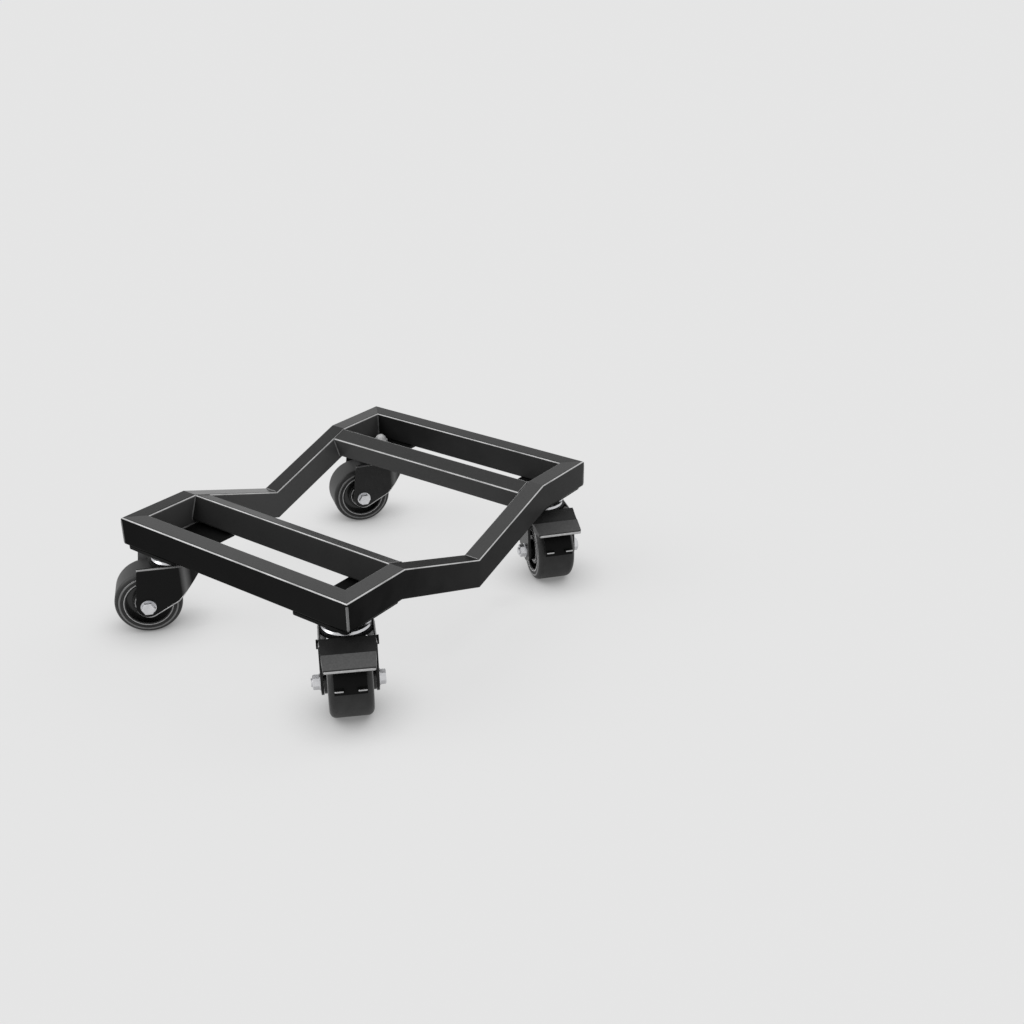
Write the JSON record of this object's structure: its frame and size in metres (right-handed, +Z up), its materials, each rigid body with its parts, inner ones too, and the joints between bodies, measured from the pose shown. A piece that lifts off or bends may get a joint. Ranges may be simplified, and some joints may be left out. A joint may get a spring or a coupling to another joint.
{
  "type": "vehicle positioning dolly",
  "caption": "Low welded tube frame with a V-shaped cradle for a car tyre, standing on swivel casters, one side with foot brakes.",
  "frame": {"origin": "on the floor under the middle of the frame", "axes": "+X across the dolly towards the side with the foot brakes, +Y from the front end to the rear end, +Z up"},
  "size_m": [0.5339, 0.6281, 0.181],
  "materials": {
    "powder_coat": "fine satin black powder coat",
    "black_enamel": "smooth semi-gloss black paint on pressed steel",
    "zinc_plate": "bright zinc plate",
    "bearing_steel": "ground steel",
    "tyre_rubber": "smooth solid black rubber",
    "core_plastic": "moulded black nylon"
  },
  "bodies": {
    "frame": {"front_crossbar": "powder_coat", "front_inner_crossbar": "powder_coat", "rear_inner_crossbar": "powder_coat", "rear_crossbar": "powder_coat", "left_rail_front": "powder_coat", "left_rail_front_slope": "powder_coat", "left_rail_rear_slope": "powder_coat", "left_rail_rear": "powder_coat", "right_rail_front": "powder_coat", "right_rail_front_slope": "powder_coat", "right_rail_rear_slope": "powder_coat", "right_rail_rear": "powder_coat", "front_left_top_plate": "powder_coat", "front_right_top_plate": "powder_coat", "rear_left_top_plate": "powder_coat", "rear_right_top_plate": "powder_coat", "kingpin_bolts": "zinc_plate", "kingpin_nuts": "zinc_plate", "swivel_ball_rings": "bearing_steel"},
    "front_left_caster": {"front_left_fork": "black_enamel", "front_left_lower_race": "zinc_plate", "front_left_axle_bolt": "zinc_plate", "front_left_axle_nut": "zinc_plate", "front_left_axle_sleeve": "bearing_steel"},
    "front_left_wheel": {"front_left_tyre": "tyre_rubber", "front_left_wheel_core": "core_plastic", "front_left_bearings": "bearing_steel"},
    "front_right_caster": {"front_right_fork": "black_enamel", "front_right_lower_race": "zinc_plate", "front_right_axle_bolt": "zinc_plate", "front_right_axle_nut": "zinc_plate", "front_right_axle_sleeve": "bearing_steel", "front_right_brake_pin": "black_enamel"},
    "front_right_wheel": {"front_right_tyre": "tyre_rubber", "front_right_wheel_core": "core_plastic", "front_right_bearings": "bearing_steel"},
    "front_right_brake": {"front_right_brake_lever": "black_enamel", "front_right_brake_shoe": "black_enamel"},
    "rear_left_caster": {"rear_left_fork": "black_enamel", "rear_left_lower_race": "zinc_plate", "rear_left_axle_bolt": "zinc_plate", "rear_left_axle_nut": "zinc_plate", "rear_left_axle_sleeve": "bearing_steel"},
    "rear_left_wheel": {"rear_left_tyre": "tyre_rubber", "rear_left_wheel_core": "core_plastic", "rear_left_bearings": "bearing_steel"},
    "rear_right_caster": {"rear_right_fork": "black_enamel", "rear_right_lower_race": "zinc_plate", "rear_right_axle_bolt": "zinc_plate", "rear_right_axle_nut": "zinc_plate", "rear_right_axle_sleeve": "bearing_steel", "rear_right_brake_pin": "black_enamel"},
    "rear_right_wheel": {"rear_right_tyre": "tyre_rubber", "rear_right_wheel_core": "core_plastic", "rear_right_bearings": "bearing_steel"},
    "rear_right_brake": {"rear_right_brake_lever": "black_enamel", "rear_right_brake_shoe": "black_enamel"}
  },
  "joints": [
    {"name": "front_left_swivel", "type": "hinge", "parent": "frame", "child": "front_left_caster", "pos_m": [-0.174, -0.2395, 0.124], "axis": [0, 0, 1], "continuous": true},
    {"name": "front_left_roll", "type": "hinge", "parent": "front_left_caster", "child": "front_left_wheel", "pos_m": [-0.2037, -0.27331, 0.05], "axis": [0.7513, -0.66, 0], "continuous": true},
    {"name": "front_right_swivel", "type": "hinge", "parent": "frame", "child": "front_right_caster", "pos_m": [0.174, -0.2395, 0.124], "axis": [0, 0, 1], "continuous": true},
    {"name": "front_right_roll", "type": "hinge", "parent": "front_right_caster", "child": "front_right_wheel", "pos_m": [0.20554, -0.2716, 0.05], "axis": [0.7133, 0.7009, 0], "continuous": true},
    {"name": "front_right_brake_tip", "type": "hinge", "parent": "front_right_caster", "child": "front_right_brake", "pos_m": [0.20274, -0.26874, 0.107], "axis": [0.7133, 0.7009, 0], "range_deg": [0, 6.5]},
    {"name": "rear_left_swivel", "type": "hinge", "parent": "frame", "child": "rear_left_caster", "pos_m": [-0.174, 0.2395, 0.124], "axis": [0, 0, 1], "continuous": true},
    {"name": "rear_left_roll", "type": "hinge", "parent": "rear_left_caster", "child": "rear_left_wheel", "pos_m": [-0.2, 0.20277, 0.05], "axis": [0.8161, -0.5779, 0], "continuous": true},
    {"name": "rear_right_swivel", "type": "hinge", "parent": "frame", "child": "rear_right_caster", "pos_m": [0.174, 0.2395, 0.124], "axis": [0, 0, 1], "continuous": true},
    {"name": "rear_right_roll", "type": "hinge", "parent": "rear_right_caster", "child": "rear_right_wheel", "pos_m": [0.20872, 0.21088, 0.05], "axis": [0.6361, 0.7716, 0], "continuous": true},
    {"name": "rear_right_brake_tip", "type": "hinge", "parent": "rear_right_caster", "child": "rear_right_brake", "pos_m": [0.20564, 0.21342, 0.107], "axis": [0.6361, 0.7716, 0], "range_deg": [0, 6.5]}
  ]
}
